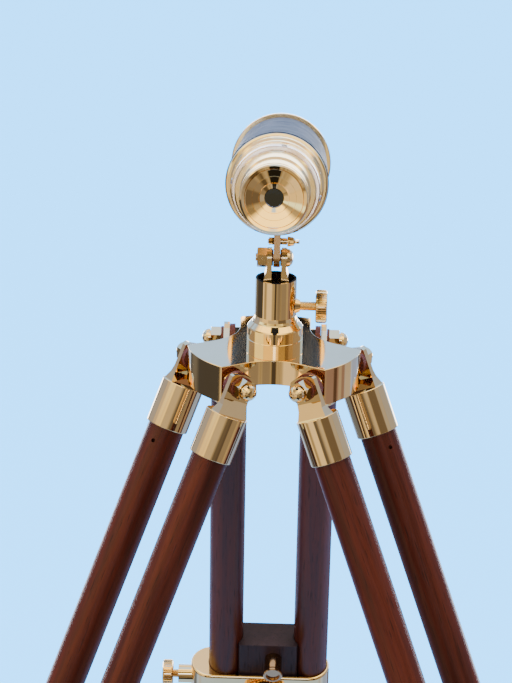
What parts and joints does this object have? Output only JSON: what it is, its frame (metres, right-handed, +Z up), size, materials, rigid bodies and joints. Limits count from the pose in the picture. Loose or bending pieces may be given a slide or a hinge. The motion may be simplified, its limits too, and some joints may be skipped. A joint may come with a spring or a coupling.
{
  "type": "tripod telescope",
  "caption": "Brass draw telescope with a leather-wrapped tube on a fork mount, a three-armed brass head and extending wooden tripod legs.",
  "frame": {"origin": "middle of the footprint box, on the floor", "axes": "+Z up, +Y the way the objective points at rest, +X to the right seen from the eyepiece"},
  "size_m": [0.7702, 0.8012, 1.1549],
  "materials": {
    "brass": "polished, lacquered",
    "rod_wood": "varnished dark red-brown hardwood",
    "bar_wood": "satin dark hardwood",
    "leather": "smooth dark navy leather",
    "fibre": "red vulcanised fibre",
    "felt": "felt",
    "steel": "small turned screws",
    "glass": "clear optical glass"
  },
  "bodies": {
    "head": {"tripod_head": "brass", "socket_collar": "brass", "socket_tube": "brass", "hinge_bolts": "brass", "hinge_spacers": "brass", "hinge_washers": "fibre", "acorn_nuts": "brass"},
    "socket_screw": {"socket_thumbscrew": "brass"},
    "mount": {"fork": "brass", "pivot_bolt": "brass", "pivot_nut": "brass", "tilt_washers": "fibre"},
    "telescope": {"main_tube": "brass", "leather_wrap": "leather", "rear_sleeve": "brass", "draw_guide": "brass", "guide_screws": "steel", "guide_felt": "felt", "objective_cell": "brass", "crown_lens": "glass", "flint_lens": "glass", "lens_retainer": "brass", "dew_shield": "brass", "tube_saddle": "brass", "tilt_tongue": "brass", "tongue_screw": "brass"},
    "wing_nut": {"wing_nut": "brass"},
    "draw": {"draw_tube": "brass", "draw_collar": "brass", "eyepiece_body": "brass", "eye_cup": "brass", "eyepiece_lenses": "glass", "erector_lenses": "glass"},
    "rear_leg": {"rear_leg_ferrules": "brass", "rear_leg_rods": "rod_wood", "rear_leg_yoke": "brass"},
    "rear_slide": {"rear_leg_centre_bar": "bar_wood", "rear_leg_band": "brass", "rear_leg_peg": "brass", "rear_leg_foot": "brass"},
    "rear_knob": {"rear_leg_knob": "brass"},
    "rear_band_screw": {"rear_leg_thumbscrew": "brass"},
    "left_leg": {"left_leg_ferrules": "brass", "left_leg_rods": "rod_wood", "left_leg_yoke": "brass"},
    "left_slide": {"left_leg_centre_bar": "bar_wood", "left_leg_band": "brass", "left_leg_peg": "brass", "left_leg_foot": "brass"},
    "left_knob": {"left_leg_knob": "brass"},
    "left_band_screw": {"left_leg_thumbscrew": "brass"},
    "right_leg": {"right_leg_ferrules": "brass", "right_leg_rods": "rod_wood", "right_leg_yoke": "brass"},
    "right_slide": {"right_leg_centre_bar": "bar_wood", "right_leg_band": "brass", "right_leg_peg": "brass", "right_leg_foot": "brass"},
    "right_knob": {"right_leg_knob": "brass"},
    "right_band_screw": {"right_leg_thumbscrew": "brass"}
  },
  "joints": [
    {"name": "azimuth", "type": "hinge", "parent": "head", "child": "mount", "pos_m": [0, -0.04132, 0.94802], "axis": [0, 0, 1], "continuous": true},
    {"name": "altitude", "type": "hinge", "parent": "mount", "child": "telescope", "pos_m": [0, -0.04132, 0.97972], "axis": [1, 0, 0], "range_deg": [-30, 70]},
    {"name": "focus", "type": "slide", "parent": "telescope", "child": "draw", "axis": [0, 0.9643, -0.2647], "range_m": [-0.045, 0.017]},
    {"name": "socket_screw_turn", "type": "hinge", "parent": "head", "child": "socket_screw", "pos_m": [0.024, -0.04132, 0.94587], "axis": [1, 0, 0], "range_deg": [0, 540]},
    {"name": "wing_nut_turn", "type": "hinge", "parent": "telescope", "child": "wing_nut", "pos_m": [0.009, -0.03841, 0.99033], "axis": [1, 0, 0], "range_deg": [0, 360]},
    {"name": "rear_leg_fold", "type": "hinge", "parent": "head", "child": "rear_leg", "pos_m": [0, 0.00338, 0.90562], "axis": [-1, 0, 0], "range_deg": [-12, 23.16]},
    {"name": "rear_leg_extend", "type": "slide", "parent": "rear_leg", "child": "rear_slide", "axis": [0, 0.3933, -0.9194], "range_m": [-0.235, 0.245]},
    {"name": "rear_knob_turn", "type": "hinge", "parent": "rear_slide", "child": "rear_knob", "pos_m": [-0.002, 0.12219, 0.57957], "axis": [0, -0.9194, -0.3933], "range_deg": [0, 540]},
    {"name": "rear_band_screw_turn", "type": "hinge", "parent": "rear_slide", "child": "rear_band_screw", "pos_m": [-0.07, 0.13887, 0.58888], "axis": [-1, 0, 0], "range_deg": [0, 540]},
    {"name": "left_leg_fold", "type": "hinge", "parent": "head", "child": "left_leg", "pos_m": [-0.03871, -0.06367, 0.90562], "axis": [0.5, -0.866, 0], "range_deg": [-12, 23.16]},
    {"name": "left_leg_extend", "type": "slide", "parent": "left_leg", "child": "left_slide", "axis": [-0.3406, -0.1967, -0.9194], "range_m": [-0.235, 0.245]},
    {"name": "left_knob_turn", "type": "hinge", "parent": "left_slide", "child": "left_knob", "pos_m": [-0.1406, -0.12481, 0.57957], "axis": [0.7962, 0.4597, -0.3933], "range_deg": [0, 540]},
    {"name": "left_band_screw_turn", "type": "hinge", "parent": "left_slide", "child": "left_band_screw", "pos_m": [-0.12105, -0.19204, 0.58888], "axis": [0.5, -0.866, 0], "range_deg": [0, 540]},
    {"name": "right_leg_fold", "type": "hinge", "parent": "head", "child": "right_leg", "pos_m": [0.03871, -0.06367, 0.90562], "axis": [0.5, 0.866, 0], "range_deg": [-12, 23.16]},
    {"name": "right_leg_extend", "type": "slide", "parent": "right_leg", "child": "right_slide", "axis": [0.3406, -0.1967, -0.9194], "range_m": [-0.235, 0.245]},
    {"name": "right_knob_turn", "type": "hinge", "parent": "right_slide", "child": "right_knob", "pos_m": [0.1426, -0.12134, 0.57957], "axis": [-0.7962, 0.4597, -0.3933], "range_deg": [0, 540]},
    {"name": "right_band_screw_turn", "type": "hinge", "parent": "right_slide", "child": "right_band_screw", "pos_m": [0.19105, -0.07079, 0.58888], "axis": [0.5, 0.866, 0], "range_deg": [0, 540]}
  ]
}
